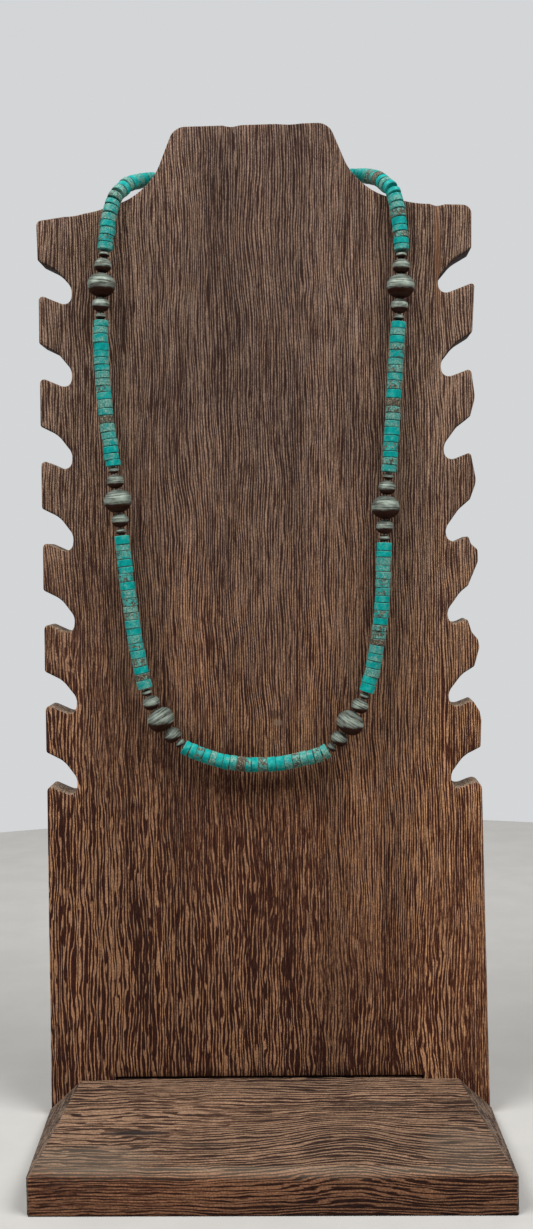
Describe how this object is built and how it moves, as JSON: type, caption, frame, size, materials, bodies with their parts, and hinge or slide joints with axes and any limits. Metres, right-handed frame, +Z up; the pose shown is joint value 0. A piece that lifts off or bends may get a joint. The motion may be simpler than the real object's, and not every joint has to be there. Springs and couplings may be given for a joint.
{
  "type": "beaded necklace on a wooden display stand",
  "caption": "Beaded necklace of turquoise discs and oxidised silver saucer beads, hung on a dark wooden board stand with hook notches.",
  "frame": {"origin": "middle of the stand's footprint, on the surface it stands on", "axes": "+Z up, -Y towards the viewer of the necklace, +X to the viewer's right"},
  "size_m": [0.1304, 0.101, 0.2884],
  "materials": {
    "board_wood": "scorched and wire-brushed softwood, matt, dark brown with tan grain lines",
    "base_wood": "scorched and wire-brushed softwood, matt, greyer and paler than the board",
    "turquoise": "ground turquoise, matt, blue-green with a few tan and brown matrix veins",
    "silver": "oxidised brushed sterling silver",
    "steel_wire": "fine coated beading wire"
  },
  "bodies": {
    "root": {"stand_board": "board_wood", "stand_base": "base_wood", "barrel_clasp": "silver", "heishi_run_1": "turquoise", "heishi_run_2": "turquoise", "heishi_run_3": "turquoise", "heishi_run_4": "turquoise", "heishi_run_5": "turquoise", "heishi_run_6": "turquoise", "heishi_run_7": "turquoise", "silver_1_small_1": "silver", "silver_1_medium_2": "silver", "silver_1_large_3": "silver", "silver_1_medium_4": "silver", "silver_1_small_5": "silver", "silver_2_small_1": "silver", "silver_2_medium_2": "silver", "silver_2_large_3": "silver", "silver_2_medium_4": "silver", "silver_2_small_5": "silver", "silver_3_small_1": "silver", "silver_3_medium_2": "silver", "silver_3_large_3": "silver", "silver_3_medium_4": "silver", "silver_3_small_5": "silver", "silver_4_small_1": "silver", "silver_4_medium_2": "silver", "silver_4_large_3": "silver", "silver_4_medium_4": "silver", "silver_4_small_5": "silver", "silver_5_small_1": "silver", "silver_5_medium_2": "silver", "silver_5_large_3": "silver", "silver_5_medium_4": "silver", "silver_5_small_5": "silver", "silver_6_small_1": "silver", "silver_6_medium_2": "silver", "silver_6_large_3": "silver", "silver_6_medium_4": "silver", "silver_6_small_5": "silver", "wire_1": "steel_wire", "wire_2": "steel_wire", "wire_3": "steel_wire", "wire_4": "steel_wire", "wire_5": "steel_wire", "wire_6": "steel_wire"}
  },
  "joints": []
}
